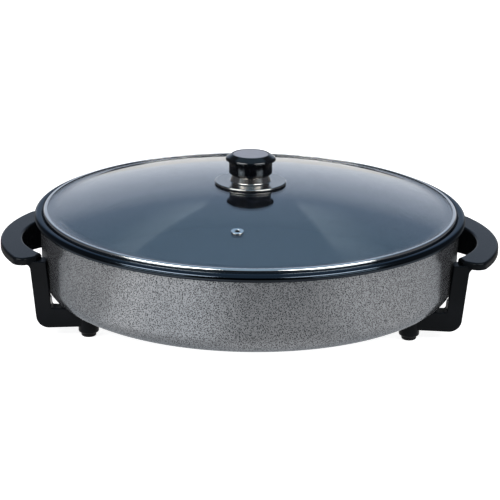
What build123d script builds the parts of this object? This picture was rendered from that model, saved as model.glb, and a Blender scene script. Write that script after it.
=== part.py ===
from build123d import *
import os
from math import atan2, degrees, hypot, sqrt

# Electric party pan: a round pan on two moulded handle frames, a lift-off glass lid and a heater below.
# Millimetres from the floor below the pan's axis, with +Z up, +X to the right handle and -Y to the front.

# Cast pan
RIM_RADIUS = 210.0
RIM_OVERHANG = 5.5
RIM_DEPTH = 8.7
RIM_WIDTH = 5.0
RIM_TOP_ROUND = 3.0
RIM_LOW_ROUND = 3.4
RIM_LIP_ROUND = 1.0
RIM_ROOT_ROUND = 1.0
PAN_HEIGHT = 81.5
PAN_LIFT = 29.0
PAN_WALL = 4.5
PAN_FLOOR = 3.2
PAN_CORNER = 21.0
WALL_LEAN = 1.7

# Glass lid and its steel band
LID_CLEARANCE = 3.6
SEAT_GAP = 0.3
GLASS_SHEET = 4.0
GLASS_EDGE_GAP = 0.6
GLASS_EDGE_SHARE = 0.4
GLASS_FLANGE = 8.9
FLANGE_ROUND = 25.0
DOME_RISE = 24.0
BAND_SHEET = 0.7
BAND_FIT = 0.1
BAND_LAP = 3.7
BAND_BEVEL = 1.3
BAND_SEAT_BEVEL = 0.9
CENTRE_HOLE_RADIUS = 4.0

# Steam vent eyelet in the glass
VENT_ACROSS = -12.3
VENT_FORWARD = 129.6
EYELET_RADIUS = 6.0
EYELET_SHEET = 0.9
EYELET_EDGE = 0.4
EYELET_TUBE_RADIUS = 3.4
EYELET_BORE_RADIUS = 2.25
EYELET_TAIL_RADIUS = 5.0
EYELET_FIT = 0.2

# Knob on its steel collar
COLLAR_SHEET = 1.0
COLLAR_RADIUS = 35.0
COLLAR_LIP = 1.6
COLLAR_LIP_BEND = 0.7
NECK_FOOT_RADIUS = 20.0
NECK_TOP_RADIUS = 17.75
NECK_HEIGHT = 7.0
NECK_FOOT_BEND = 2.0
NECK_TOP_BEND = 1.2
COLLAR_GASKET_SHEET = 0.8
COLLAR_GASKET_OUTER = 30.0
COLLAR_GASKET_INNER = 21.5
KNOB_RADIUS = 21.2
KNOB_BODY_HEIGHT = 13.6
KNOB_FOOT_ROUND = 2.2
KNOB_NECK_ROUND = 0.8
CAP_RADIUS = 24.5
CAP_EDGE = 2.4
CAP_EDGE_ROUND = 0.9
CAP_SHOULDER_ROUND = 3.0
CAP_RISE = 3.8
INLAY_RADIUS = 17.25
INLAY_SHEET = 1.4
INLAY_CROWN = 0.4
INLAY_FRAME = 0.9
INLAY_FIT = 0.1
INSERT_RADIUS = 4.5
INSERT_LENGTH = 11.0
MOULD_FIT = 0.05

# Screw that holds the knob from below the glass
SCREW_RADIUS = 2.5
SCREW_BORE_FIT = 0.15
SCREW_HEAD_RADIUS = 4.6
SCREW_HEAD_HEIGHT = 3.0
SCREW_HEAD_ROUND = 1.0
SCREW_TIP_GAP = 1.5
UNDER_GASKET_SHEET = 1.5
UNDER_GASKET_RADIUS = 8.0
UNDER_WASHER_SHEET = 1.0
UNDER_WASHER_RADIUS = 9.0

# Handle frames: crescent grip, skirt, legs, bars and foot bosses in one moulding
GRIP_REACH = 34.0
GRIP_WIDTH = 21.2
GRIP_ARC = 153.0
GRIP_HALF_SPAN = 83.5
GRIP_CORNER_ROUND = 10.0
GRIP_TOP = 80.3
GRIP_EDGE_HEIGHT = 7.0
GRIP_EDGE_ROUND = 2.4
GRIP_SHELL = 3.6
GRIP_ROOF = 3.8
MOUTH_ARC = 92.0
MOUTH_INSET = 21.5
TIP_INSET = 9.5
TIP_STANDOFF = 11.4
RIB_COUNT = 5
RIB_SHEET = 2.4
RIB_SPREAD = 56.0
SKIRT_SHEET = 3.4
SKIRT_REAR_DEPTH = 32.0
SKIRT_FRONT_DEPTH = 13.0
LEG_WIDTH = 15.6
LEG_DEPTH = 15.0
LEG_SETBACK = 1.5
LEG_TOP_STEP = 4.5
LEG_LEAN_SHARE = 0.098
LEG_HEEL_ROUND = 12.0
LEG_KNEE_ROUND = 2.0
LEG_EDGE_ROUND = 1.0
GUSSET_ROUND = 6.0
GUSSET_REACH = 9.0
CHANNEL_SHELL = 3.2
BAR_HEIGHT = 19.9
BAR_LIFT = 9.2
BAR_SLOPE_RISE = 2.0
FOOT_INSET = 56.2
FOOT_SETBACK = 14.5
BOSS_RADIUS = 9.9
BOSS_LIFT = 4.0
BOSS_EDGE_ROUND = 2.0
BOSS_WEB = 4.0
FRAME_GAP = 0.4

# Foot pads and the screws that hold the frames
STUD_RADIUS = 4.5
STUD_LENGTH = 9.0
STUD_FIT = 0.2
PAD_RADIUS = 7.2
PAD_FIT = 0.1
PAD_EDGE_ROUND = 1.6
PAD_GAP = 0.4
FRAME_SCREW_RADIUS = 2.5
FRAME_SCREW_HEAD_RADIUS = 4.75
FRAME_SCREW_HEAD_HEIGHT = 3.2
FRAME_SCREW_HEAD_ROUND = 1.2
FRAME_SCREW_HOLE_FIT = 0.3
FRAME_SCREW_TIP_GAP = 2.0
FRAME_WASHER_RADIUS = 5.8
FRAME_WASHER_SHEET = 1.2

# Tubular heating element and its clips
ELEMENT_INSET = 102.0
ELEMENT_RADIUS = 4.0
ELEMENT_GAP = 0.2
LEAD_BEND = 14.0
LEAD_DROP_START = 3.0
LEAD_DROP_RUN = 11.0
LEAD_DROP_BEND = 6.0
LEAD_SETBACK = 10.0
SADDLE_COUNT = 4
SADDLE_SHEET = 1.0
SADDLE_FIT = 0.2
SADDLE_WIDTH = 12.0
SADDLE_TAIL = 5.0
SADDLE_FOOT = 11.0
SADDLE_BEND = 0.8
SADDLE_BEND_SHARE = 0.95

# Weld studs and nuts under the pan
WELD_STUD_RADIUS = 2.0
WELD_STUD_LENGTH = 8.0
WELD_STUD_FIT = 0.15
NUT_RADIUS = 4.04
NUT_HEIGHT = 3.2
NUT_SIDES = 6

# Steel cover below the element
COVER_SHEET = 0.8
COVER_DEPTH = 17.5
COVER_INSET = 74.0
COVER_WALL_RUN = 6.0
COVER_FLANGE = 13.0
COVER_STUD_INSET = 5.5
COVER_BEND = 3.0
COVER_STUD_COUNT = 4
NOTCH_INSET = 6.0
NOTCH_FIT = 0.3

# Terminal box, pins, guard and probe well of the inlet
BOX_SHEET = 1.0
BOX_HALF_WIDTH = 27.0
BOX_INSET = 58.0
BOX_DROP = 21.5
BOX_FLANGE = 16.0
BOX_STUD_INSET = 8.0
BOX_STUD_MARGIN = 5.0
TERMINAL_DROP = 12.0
TERMINAL_SPREAD = 13.0
PIN_RADIUS = 2.3
PIN_LENGTH = 23.5
PIN_TIP_ROUND = 1.2
PIN_SHANK_RADIUS = 1.8
INSULATOR_RADIUS = 4.5
INSULATOR_FLANGE_RADIUS = 6.5
INSULATOR_FLANGE = 2.5
INSULATOR_LENGTH = 7.5
INSULATOR_FIT = 0.15
GUARD_SHEET = 1.2
GUARD_INSET = 0.8
GUARD_LENGTH = 28.0
GUARD_ROOF_GAP = 0.1
EARTH_HALF_WIDTH = 5.0
EARTH_SHEET = 1.2
EARTH_LENGTH = 16.0
EARTH_LIFT = 4.0
PROBE_DROP = 7.0
PROBE_BORE_RADIUS = 3.2
PROBE_BORE_LENGTH = 60.0
PROBE_NOSE_RADIUS = 4.5
PROBE_NOSE_LENGTH = 6.0
PROBE_BLOCK_HALF_WIDTH = 7.0
PROBE_BLOCK_HEIGHT = 12.5
PROBE_BLOCK_END = 3.0

# How far cutting bodies run past the faces they cut
OVERRUN = 2.0

# Places shared by several pieces
rim_top = PAN_LIFT + PAN_HEIGHT
rim_low = rim_top - RIM_DEPTH
lip_radius = RIM_RADIUS - RIM_WIDTH
wall_top = RIM_RADIUS - RIM_OVERHANG
wall_low = wall_top - WALL_LEAN
seat_radius = wall_top - PAN_WALL
seat_low = rim_top - lip_radius + seat_radius

band_height = GLASS_SHEET + 2 * (BAND_SHEET + BAND_FIT)
band_radius = lip_radius - LID_CLEARANCE
band_rise = band_height / 2
band_low = seat_low + band_radius - seat_radius - BAND_SEAT_BEVEL + SEAT_GAP * sqrt(2)
band_level = band_low + band_rise
glass_radius = band_radius - BAND_SHEET - GLASS_EDGE_GAP
flange_radius = glass_radius - GLASS_FLANGE
flange_top = band_level + GLASS_SHEET / 2
dome_top = flange_top + DOME_RISE
dome_radius = (flange_radius ** 2 + DOME_RISE ** 2) / (2 * DOME_RISE)

collar_low = dome_top + COLLAR_GASKET_SHEET
neck_top = collar_low + COLLAR_SHEET + NECK_HEIGHT
cap_low = neck_top + KNOB_BODY_HEIGHT
cap_shoulder = cap_low + CAP_EDGE
cap_top = cap_shoulder + CAP_RISE
inlay_floor = cap_top - INLAY_SHEET
glass_under = dome_top - GLASS_SHEET
under_gasket_low = glass_under - UNDER_GASKET_SHEET
under_washer_low = under_gasket_low - UNDER_WASHER_SHEET
screw_bore = SCREW_RADIUS + SCREW_BORE_FIT
insert_top = neck_top + INSERT_LENGTH

grip_reach = RIM_RADIUS + GRIP_REACH
grip_centre = grip_reach - GRIP_ARC
mouth_reach = grip_reach - GRIP_WIDTH
mouth_centre = mouth_reach - MOUTH_ARC
mouth_half_span = GRIP_HALF_SPAN - MOUTH_INSET
tip_half_span = GRIP_HALF_SPAN - TIP_INSET
foot_across = RIM_RADIUS - FOOT_INSET
foot_forward = GRIP_HALF_SPAN - FOOT_SETBACK
foot_places = [(side * foot_across, front * foot_forward) for side in (-1, 1) for front in (-1, 1)]
grip_low = GRIP_TOP - GRIP_EDGE_HEIGHT
skirt_rear_low = GRIP_TOP - SKIRT_REAR_DEPTH
leg_inside = foot_forward - LEG_DEPTH / 2
leg_outer = RIM_RADIUS - LEG_SETBACK
leg_top = GRIP_TOP - LEG_TOP_STEP
bar_top = BAR_LIFT + BAR_HEIGHT
boss_hole_top = PAN_LIFT - STUD_LENGTH - STUD_FIT
boss_web_low = boss_hole_top - BOSS_WEB
washer_low = boss_web_low - FRAME_WASHER_SHEET
frame_screw_low = washer_low - FRAME_SCREW_HEAD_HEIGHT

element_ring = RIM_RADIUS - ELEMENT_INSET
element_level = PAN_LIFT - ELEMENT_GAP - ELEMENT_RADIUS
terminal_level = PAN_LIFT - TERMINAL_DROP
box_low = PAN_LIFT - COVER_DEPTH
inlet_low = PAN_LIFT - BOX_DROP
probe_level = PAN_LIFT - PROBE_DROP
box_end = RIM_RADIUS - BOX_INSET
lead_end = box_end - LEAD_SETBACK
cover_floor_radius = RIM_RADIUS - COVER_INSET
cover_top_radius = cover_floor_radius + COVER_WALL_RUN
notch_start = cover_floor_radius - NOTCH_INSET
cover_stud_ring = cover_top_radius + COVER_FLANGE - COVER_STUD_INSET
saddle_stud_ring = element_ring - ELEMENT_RADIUS - SADDLE_FOOT / 2
insulator_front = box_end + INSULATOR_FLANGE
guard_half_width = BOX_HALF_WIDTH - GUARD_INSET
guard_inside = guard_half_width - GUARD_SHEET
box_stud_spread = guard_inside - BOX_STUD_MARGIN


# Shared forms
def outline_face(corners):
    """Face inside a closed line of (across, up, corner radius) corners."""
    points = [(across, up) for across, up, bend in corners]
    bends = [bend for across, up, bend in corners]
    return make_face(FilletPolyline(*points, radius=bends, close=True))


def spun(corners):
    """Solid of revolution about Z from (radius, height, corner radius) corners."""
    return revolve(Plane.XZ * outline_face(corners), Axis.Z)


def spun_sheet(corners, bends, sheet):
    """Spun sheet metal whose middle line runs through the given corners."""
    middle = FilletPolyline(*corners, radius=bends)
    return revolve(Plane.XZ * trace(middle, sheet), Axis.Z)


def ring(outer, inner, low, high):
    """Plain ring between two heights."""
    return spun([(inner, low, 0), (outer, low, 0), (outer, high, 0), (inner, high, 0)])


def disc(radius, low, high):
    """Plain disc between two heights."""
    return Pos(0, 0, low) * extrude(Circle(radius), high - low)


def block(x_span, y_span, z_span):
    """Box between two limits along each axis."""
    spans = (x_span, y_span, z_span)
    size = [high - low for low, high in spans]
    middle = [(high + low) / 2 for low, high in spans]
    return Pos(*middle) * Box(*size)


def rod_along_x(radius, start, end, forward, level):
    """Round rod that runs along X."""
    return Plane((start, forward, level), z_dir=(1, 0, 0)) * extrude(Circle(radius), end - start)


def on_ring(radius, count):
    """Places spread evenly round Z, half a step away from +X."""
    step = 360 / count
    turns = [step * number + step / 2 for number in range(count)]
    return [Rot(0, 0, turn) * Pos(radius, 0, 0) for turn in turns]


def group(places, piece):
    """Copies of one piece at several places, kept as separate solids."""
    return Compound(children=[place * piece for place in places])


# Pan
def pan_body():
    """Cast pan with a rounded rim outside and a conical lid seat inside it."""
    floor = PAN_LIFT + PAN_FLOOR
    return spun([
        (0, PAN_LIFT, 0),
        (wall_low, PAN_LIFT, PAN_CORNER),
        (wall_top, rim_low, RIM_ROOT_ROUND),
        (RIM_RADIUS, rim_low, RIM_LOW_ROUND),
        (RIM_RADIUS, rim_top, RIM_TOP_ROUND),
        (lip_radius, rim_top, RIM_LIP_ROUND),
        (seat_radius, seat_low, 0),
        (wall_low - PAN_WALL, floor, PAN_CORNER - PAN_WALL),
        (0, floor, 0),
    ])


def pan_envelope(gap):
    """Space the pan takes up below its rim, with a gap round it."""
    return spun([
        (0, PAN_LIFT - gap, 0),
        (wall_low + gap, PAN_LIFT - gap, PAN_CORNER + gap),
        (wall_top + gap, rim_low, 0),
        (0, rim_low, 0),
    ])


# Lid
def dome_height(radius, sink):
    """Height of the dome at a radius, sunk below its outer face by a depth."""
    return dome_top - dome_radius + sqrt((dome_radius - sink) ** 2 - radius ** 2)


def dome_arc(sink):
    """Arc of the dome from its flange to the axis, sunk below the outer face by a depth."""
    level = flange_top - sink
    reach = sqrt((dome_radius - sink) ** 2 - (level - dome_top + dome_radius) ** 2)
    middle = reach / 2
    return ThreePointArc((reach, level), (middle, dome_height(middle, sink)), (0, dome_top - sink))


def dome_ball(sink):
    """Full ball whose skin is the dome's, sunk below the outer face by a depth."""
    return Pos(0, 0, dome_top - dome_radius) * Sphere(dome_radius - sink)


def vent_plane():
    """Plane on the glass at the steam vent, square to the dome."""
    reach = hypot(VENT_ACROSS, VENT_FORWARD)
    height = dome_height(reach, 0)
    normal = (VENT_ACROSS, -VENT_FORWARD, height - dome_top + dome_radius)
    return Plane((VENT_ACROSS, -VENT_FORWARD, height), z_dir=normal)


def lid_glass():
    """Tempered glass dome with a flat flange, a centre hole and a vent hole."""
    upper = dome_arc(0)
    lower = dome_arc(GLASS_SHEET)
    edge_bend = GLASS_SHEET * GLASS_EDGE_SHARE
    flange = FilletPolyline(
        upper @ 0,
        (glass_radius, flange_top),
        (glass_radius, flange_top - GLASS_SHEET),
        lower @ 0,
        radius=[edge_bend, edge_bend],
    )
    profile = make_face([upper, flange, lower, Line(upper @ 1, lower @ 1)])
    joins = [profile.vertices().sort_by_distance(arc @ 0)[0] for arc in (upper, lower)]
    glass = revolve(Plane.XZ * fillet(joins, FLANGE_ROUND), Axis.Z)
    vent_circle = Circle(EYELET_TUBE_RADIUS + EYELET_FIT)
    vent_hole = vent_plane() * extrude(vent_circle, GLASS_SHEET + OVERRUN, both=True)
    centre_hole = disc(CENTRE_HOLE_RADIUS, glass_under - OVERRUN, dome_top + OVERRUN)
    return glass - centre_hole - vent_hole


def lid_band():
    """Steel band crimped over the edge of the glass, bevelled twice above and once on the seat."""
    start = band_radius - BAND_LAP
    top = band_low + band_height
    inner_radius = band_radius - BAND_SHEET
    between_bevels = BAND_BEVEL * (1 - sqrt(1 / 2))
    return spun([
        (start, top, 0),
        (band_radius - BAND_BEVEL, top, 0),
        (band_radius - between_bevels, top - between_bevels, 0),
        (band_radius, top - BAND_BEVEL, 0),
        (band_radius, band_low + BAND_SEAT_BEVEL, 0),
        (band_radius - BAND_SEAT_BEVEL, band_low, 0),
        (start, band_low, 0),
        (start, band_low + BAND_SHEET, 0),
        (inner_radius, band_low + BAND_SHEET, 0),
        (inner_radius, top - BAND_SHEET, 0),
        (start, top - BAND_SHEET, 0),
    ])


def vent_eyelet():
    """Steel eyelet that lines the vent hole, rolled over on both faces."""
    tail = -GLASS_SHEET - EYELET_FIT
    return vent_plane() * spun([
        (EYELET_BORE_RADIUS, EYELET_SHEET, EYELET_EDGE),
        (EYELET_RADIUS, EYELET_SHEET, EYELET_EDGE),
        (EYELET_RADIUS, MOULD_FIT, 0),
        (EYELET_TUBE_RADIUS, MOULD_FIT, 0),
        (EYELET_TUBE_RADIUS, tail, 0),
        (EYELET_TAIL_RADIUS, tail, 0),
        (EYELET_TAIL_RADIUS, tail - EYELET_SHEET, EYELET_EDGE),
        (EYELET_BORE_RADIUS, tail - EYELET_SHEET, EYELET_EDGE),
    ])


def collar_gasket():
    """Soft ring between the glass and the collar, shaped to the dome below."""
    level = dome_height(COLLAR_GASKET_OUTER, 0)
    blank = ring(COLLAR_GASKET_OUTER, COLLAR_GASKET_INNER, level, collar_low)
    return blank - dome_ball(0)


def under_gasket():
    """Soft washer below the glass, shaped to the dome above."""
    blank = ring(UNDER_GASKET_RADIUS, screw_bore, under_gasket_low, glass_under)
    return blank & dome_ball(GLASS_SHEET)


def knob_collar():
    """Pressed steel collar: a disc with a turned edge and a tapered neck under the knob."""
    skin = COLLAR_SHEET / 2
    disc_level = collar_low + skin
    edge = COLLAR_RADIUS - skin
    corners = [
        (screw_bore, neck_top - skin),
        (NECK_TOP_RADIUS - skin, neck_top - skin),
        (NECK_FOOT_RADIUS - skin, disc_level),
        (edge, disc_level),
        (edge, collar_low + COLLAR_SHEET - COLLAR_LIP),
    ]
    return spun_sheet(corners, [NECK_TOP_BEND, NECK_FOOT_BEND, COLLAR_LIP_BEND], COLLAR_SHEET)


def knob_body():
    """Moulded knob with a wider cap, a recess for the inlay and a hole for the insert."""
    bore = INSERT_RADIUS + MOULD_FIT
    recess = INLAY_RADIUS + INLAY_FIT
    return spun([
        (0, insert_top + MOULD_FIT, 0),
        (bore, insert_top + MOULD_FIT, 0),
        (bore, neck_top, 0),
        (KNOB_RADIUS, neck_top, KNOB_FOOT_ROUND),
        (KNOB_RADIUS, cap_low, KNOB_NECK_ROUND),
        (CAP_RADIUS, cap_low, CAP_EDGE_ROUND),
        (CAP_RADIUS, cap_shoulder, CAP_SHOULDER_ROUND),
        (recess + INLAY_FRAME, cap_top, 0),
        (recess, cap_top, 0),
        (recess, inlay_floor, 0),
        (0, inlay_floor, 0),
    ])


def knob_inlay():
    """Brushed metal disc let into the top of the knob, with a bevelled edge."""
    return spun([
        (0, inlay_floor, 0),
        (INLAY_RADIUS, inlay_floor, 0),
        (INLAY_RADIUS, cap_top - INLAY_CROWN, INLAY_CROWN),
        (INLAY_RADIUS - INLAY_FRAME, cap_top, 0),
        (0, cap_top, 0),
    ])


def knob_screw():
    """Pan-head screw from below the glass into the knob's insert."""
    return spun([
        (0, under_washer_low - SCREW_HEAD_HEIGHT, 0),
        (SCREW_HEAD_RADIUS, under_washer_low - SCREW_HEAD_HEIGHT, SCREW_HEAD_ROUND),
        (SCREW_HEAD_RADIUS, under_washer_low, 0),
        (SCREW_RADIUS, under_washer_low, 0),
        (SCREW_RADIUS, insert_top - SCREW_TIP_GAP, 0),
        (0, insert_top - SCREW_TIP_GAP, 0),
    ])


# Handle frames
def grip_face():
    """Plan of the crescent grip at the right side."""
    arc_end = grip_centre + sqrt(GRIP_ARC ** 2 - GRIP_HALF_SPAN ** 2)
    mouth_end = mouth_centre + sqrt(MOUTH_ARC ** 2 - mouth_half_span ** 2)
    tip = sqrt(wall_top ** 2 - tip_half_span ** 2) + TIP_STANDOFF
    rear = [(arc_end, GRIP_HALF_SPAN), (tip, tip_half_span), (mouth_end, mouth_half_span)]
    front = [(across, -forward) for across, forward in rear]
    plan = make_face([
        ThreePointArc(front[0], (grip_reach, 0), rear[0]),
        Polyline(*rear),
        ThreePointArc(rear[2], (mouth_reach, 0), front[2]),
        Polyline(*reversed(front)),
    ])
    ends = plan.vertices().sort_by(Axis.Y)
    return fillet([ends[0], ends[-1]], GRIP_CORNER_ROUND)


def grip():
    """Crescent grip with rounded top edges, hollow and ribbed underneath between the legs."""
    plan = grip_face()
    solid = Pos(0, 0, grip_low) * extrude(plan, GRIP_EDGE_HEIGHT)
    shell = fillet(solid.faces().sort_by(Axis.Z)[-1].edges(), GRIP_EDGE_ROUND)
    hollow = Pos(0, 0, grip_low) * extrude(offset(plan, -GRIP_SHELL), GRIP_EDGE_HEIGHT - GRIP_ROOF)
    hollow = hollow & block((mouth_centre, grip_reach), (-leg_inside, leg_inside), (grip_low, GRIP_TOP))
    step = 2 * RIB_SPREAD / (RIB_COUNT - 1)
    rib_blank = block(
        (MOUTH_ARC, MOUTH_ARC + 2 * GRIP_WIDTH),
        (-RIB_SHEET / 2, RIB_SHEET / 2),
        (grip_low, GRIP_TOP - GRIP_ROOF),
    )
    ribs = [
        Pos(mouth_centre, 0, 0) * Rot(0, 0, step * number - RIB_SPREAD) * rib_blank
        for number in range(RIB_COUNT)
    ]
    for rib in ribs:
        hollow = hollow - rib
    return shell - hollow


def skirt():
    """Thin wall that hangs from the grip's inner edge, deeper at the rear than at the front."""
    high = GRIP_TOP - GRIP_EDGE_ROUND
    reach = leg_inside + LEG_EDGE_ROUND
    wall = ring(MOUTH_ARC + SKIRT_SHEET, MOUTH_ARC, skirt_rear_low, high)
    side = outline_face([
        (-reach, GRIP_TOP - SKIRT_FRONT_DEPTH, 0),
        (reach, skirt_rear_low, 0),
        (reach, high, 0),
        (-reach, high, 0),
    ])
    return Pos(mouth_centre, 0, 0) * (wall & extrude(Plane.YZ * side, MOUTH_ARC + 2 * SKIRT_SHEET))


def leg_line(level, inset):
    """Across place of the leg's leaning outer edge at a height, moved in by an inset."""
    return leg_outer - LEG_LEAN_SHARE * (grip_low - level) - inset


def leg_face():
    """Side view of one leg and its bar, with a gusset under the grip."""
    return outline_face([
        (leg_line(grip_low, 0) + GUSSET_REACH, leg_top, 0),
        (leg_line(grip_low, 0) + GUSSET_REACH, grip_low, 0),
        (leg_line(grip_low, 0), grip_low, GUSSET_ROUND),
        (leg_line(BAR_LIFT, 0), BAR_LIFT, LEG_HEEL_ROUND),
        (foot_across, BAR_LIFT + BAR_SLOPE_RISE, 0),
        (foot_across, bar_top, 0),
        (leg_line(bar_top, LEG_WIDTH), bar_top, LEG_KNEE_ROUND),
        (leg_line(leg_top, LEG_WIDTH), leg_top, 0),
    ])


def channel_face():
    """Side view of the channel let into the hidden side of one leg and its bar."""
    inner = LEG_WIDTH - CHANNEL_SHELL
    low = BAR_LIFT + BAR_SLOPE_RISE + CHANNEL_SHELL
    high = bar_top - CHANNEL_SHELL
    end = foot_across + BOSS_RADIUS + CHANNEL_SHELL
    return outline_face([
        (leg_line(skirt_rear_low, CHANNEL_SHELL), skirt_rear_low, 0),
        (leg_line(low, CHANNEL_SHELL), low, LEG_HEEL_ROUND - CHANNEL_SHELL),
        (end, low, 0),
        (end, high, 0),
        (leg_line(high, inner), high, LEG_KNEE_ROUND),
        (leg_line(skirt_rear_low, inner), skirt_rear_low, 0),
    ])


def leg():
    """One leg with its bar, rounded along the outer side and channelled on the hidden side."""
    blank = extrude(Plane.XZ * leg_face(), LEG_DEPTH / 2, both=True)
    solid = fillet(blank.faces().sort_by(Axis.Y)[0].edges(), LEG_EDGE_ROUND)
    channel = extrude(Plane.XZ * channel_face(), -LEG_DEPTH)
    return solid - Pos(0, CHANNEL_SHELL - LEG_DEPTH / 2, 0) * channel


def boss():
    """Foot boss on the origin's axis, before its holes are made."""
    return spun([
        (0, BOSS_LIFT, 0),
        (BOSS_RADIUS, BOSS_LIFT, BOSS_EDGE_ROUND),
        (BOSS_RADIUS, PAN_LIFT, 0),
        (0, PAN_LIFT, 0),
    ])


def boss_holes():
    """Stepped hole through one foot boss."""
    stud_hole = disc(STUD_RADIUS + STUD_FIT, boss_hole_top, PAN_LIFT + OVERRUN)
    screw_hole = disc(FRAME_SCREW_RADIUS + FRAME_SCREW_HOLE_FIT, BOSS_LIFT, PAN_LIFT)
    pad_hole = disc(PAD_RADIUS + PAD_FIT, BOSS_LIFT - OVERRUN, boss_web_low)
    return stud_hole + screw_hole + pad_hole


def handle_frame():
    """Right handle frame: grip, skirt, two legs with bars and two drilled bosses in one moulding."""
    front_leg = Pos(0, -foot_forward, 0) * leg()
    frame = grip() + skirt() + front_leg + mirror(front_leg, Plane.XZ)
    for forward in (-foot_forward, foot_forward):
        frame = frame + Pos(foot_across, forward, 0) * boss()
    frame = frame - pan_envelope(FRAME_GAP)
    for forward in (-foot_forward, foot_forward):
        frame = frame - Pos(foot_across, forward, 0) * boss_holes()
    return frame


def foot_pad():
    """Rubber plug that fills the boss from below and stands on the floor."""
    top = frame_screw_low - PAD_GAP
    return spun([
        (0, 0, 0),
        (PAD_RADIUS, 0, PAD_EDGE_ROUND),
        (PAD_RADIUS, top, 0),
        (0, top, 0),
    ])


def frame_screw():
    """Pan-head screw through the boss into the weld stud."""
    tip = PAN_LIFT - FRAME_SCREW_TIP_GAP
    return spun([
        (0, frame_screw_low, 0),
        (FRAME_SCREW_HEAD_RADIUS, frame_screw_low, FRAME_SCREW_HEAD_ROUND),
        (FRAME_SCREW_HEAD_RADIUS, washer_low, 0),
        (FRAME_SCREW_RADIUS, washer_low, 0),
        (FRAME_SCREW_RADIUS, tip, 0),
        (0, tip, 0),
    ])


# Heater under the pan
def heating_element():
    """Tubular ring with two leads that bend outwards and step down to the terminals."""
    lead_level = terminal_level - element_level
    bend_forward = TERMINAL_SPREAD + LEAD_BEND
    bend_across = sqrt((element_ring + LEAD_BEND) ** 2 - bend_forward ** 2)
    meet = degrees(atan2(bend_forward, bend_across))
    drop_start = bend_across + LEAD_DROP_START
    drop_end = drop_start + LEAD_DROP_RUN
    turn = CenterArc((bend_across, bend_forward, 0), LEAD_BEND, meet - 180, 90 - meet)
    lead = FilletPolyline(
        (bend_across, TERMINAL_SPREAD, 0),
        (drop_start, TERMINAL_SPREAD, 0),
        (drop_end, TERMINAL_SPREAD, lead_level),
        (lead_end, TERMINAL_SPREAD, lead_level),
        radius=[LEAD_DROP_BEND, LEAD_DROP_BEND],
    )
    half_ring = CenterArc((0, 0, 0), element_ring, meet, 180 - meet)
    path = Wire(half_ring.edges() + turn.edges() + lead.edges())
    section = Plane((-element_ring, 0, 0), z_dir=(0, 1, 0)) * Circle(ELEMENT_RADIUS)
    rear_half = sweep(section, path)
    return Pos(0, 0, element_level) * (rear_half + mirror(rear_half, Plane.XZ))


def element_saddle():
    """Bent clip at the ring's +X place that holds the element up against the pan."""
    skin = SADDLE_SHEET / 2
    side = ELEMENT_RADIUS + SADDLE_FIT + skin
    top = PAN_LIFT - skin
    low = element_level - side
    middle = FilletPolyline(
        (-ELEMENT_RADIUS - SADDLE_FOOT, top),
        (-side, top),
        (-side, low),
        (side, low),
        (side, top),
        (side + SADDLE_TAIL, top),
        radius=[SADDLE_BEND, side * SADDLE_BEND_SHARE, side * SADDLE_BEND_SHARE, SADDLE_BEND],
    )
    strip = extrude(Plane.XZ * trace(middle, SADDLE_SHEET), SADDLE_WIDTH / 2, both=True)
    hole = Pos(saddle_stud_ring - element_ring, 0, 0) * stud_hole()
    return strip - hole


def stud_hole():
    """Clearance hole for one weld stud."""
    return disc(WELD_STUD_RADIUS + WELD_STUD_FIT, PAN_LIFT - WELD_STUD_LENGTH, PAN_LIFT + OVERRUN)


def weld_stud():
    """Stud welded to the underside of the pan."""
    return disc(WELD_STUD_RADIUS, PAN_LIFT - WELD_STUD_LENGTH, PAN_LIFT)


def stud_nut(sheet):
    """Hexagon nut on a weld stud, below a sheet of the given thickness."""
    top = PAN_LIFT - sheet
    blank = Pos(0, 0, top - NUT_HEIGHT) * extrude(RegularPolygon(NUT_RADIUS, NUT_SIDES), NUT_HEIGHT)
    return blank - stud_hole()


def base_cover():
    """Dished steel cover below the element, notched for the terminal box."""
    skin = COVER_SHEET / 2
    floor = box_low + skin
    top = PAN_LIFT - skin
    corners = [
        (0, floor),
        (cover_floor_radius, floor),
        (cover_top_radius, top),
        (cover_top_radius + COVER_FLANGE, top),
    ]
    cover = spun_sheet(corners, [COVER_BEND, COVER_BEND], COVER_SHEET)
    notch_half = BOX_HALF_WIDTH + NOTCH_FIT
    notch = block(
        (notch_start, box_end + BOX_FLANGE),
        (-notch_half, notch_half),
        (box_low - OVERRUN, PAN_LIFT + OVERRUN),
    )
    for place in on_ring(cover_stud_ring, COVER_STUD_COUNT):
        cover = cover - place * stud_hole()
    return cover - notch


def box_stud_places():
    """Places of the two studs that hold the terminal box."""
    across = box_end + BOX_STUD_INSET
    return [Pos(across, forward, 0) for forward in (-box_stud_spread, box_stud_spread)]


def terminal_box():
    """Folded steel box that closes the cover's notch and carries the terminals on its front plate."""
    start = notch_start + NOTCH_FIT
    front = box_end - BOX_SHEET
    width = (-BOX_HALF_WIDTH, BOX_HALF_WIDTH)
    through = (front - OVERRUN, box_end + OVERRUN)
    inner_half = BOX_HALF_WIDTH - BOX_SHEET
    inner_height = (box_low + BOX_SHEET, PAN_LIFT + OVERRUN)
    box = block((start, box_end), width, (box_low, PAN_LIFT))
    box = box - block((start - OVERRUN, front), (-inner_half, inner_half), inner_height)
    box = box + block((front, box_end), width, (inlet_low, PAN_LIFT))
    box = box + block((front, box_end + BOX_FLANGE), width, (PAN_LIFT - BOX_SHEET, PAN_LIFT))
    for forward in (-TERMINAL_SPREAD, TERMINAL_SPREAD):
        box = box - rod_along_x(INSULATOR_RADIUS + INSULATOR_FIT, *through, forward, terminal_level)
    box = box - rod_along_x(PROBE_NOSE_RADIUS + INSULATOR_FIT, *through, 0, probe_level)
    for place in box_stud_places():
        box = box - place * stud_hole()
    return box


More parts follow.
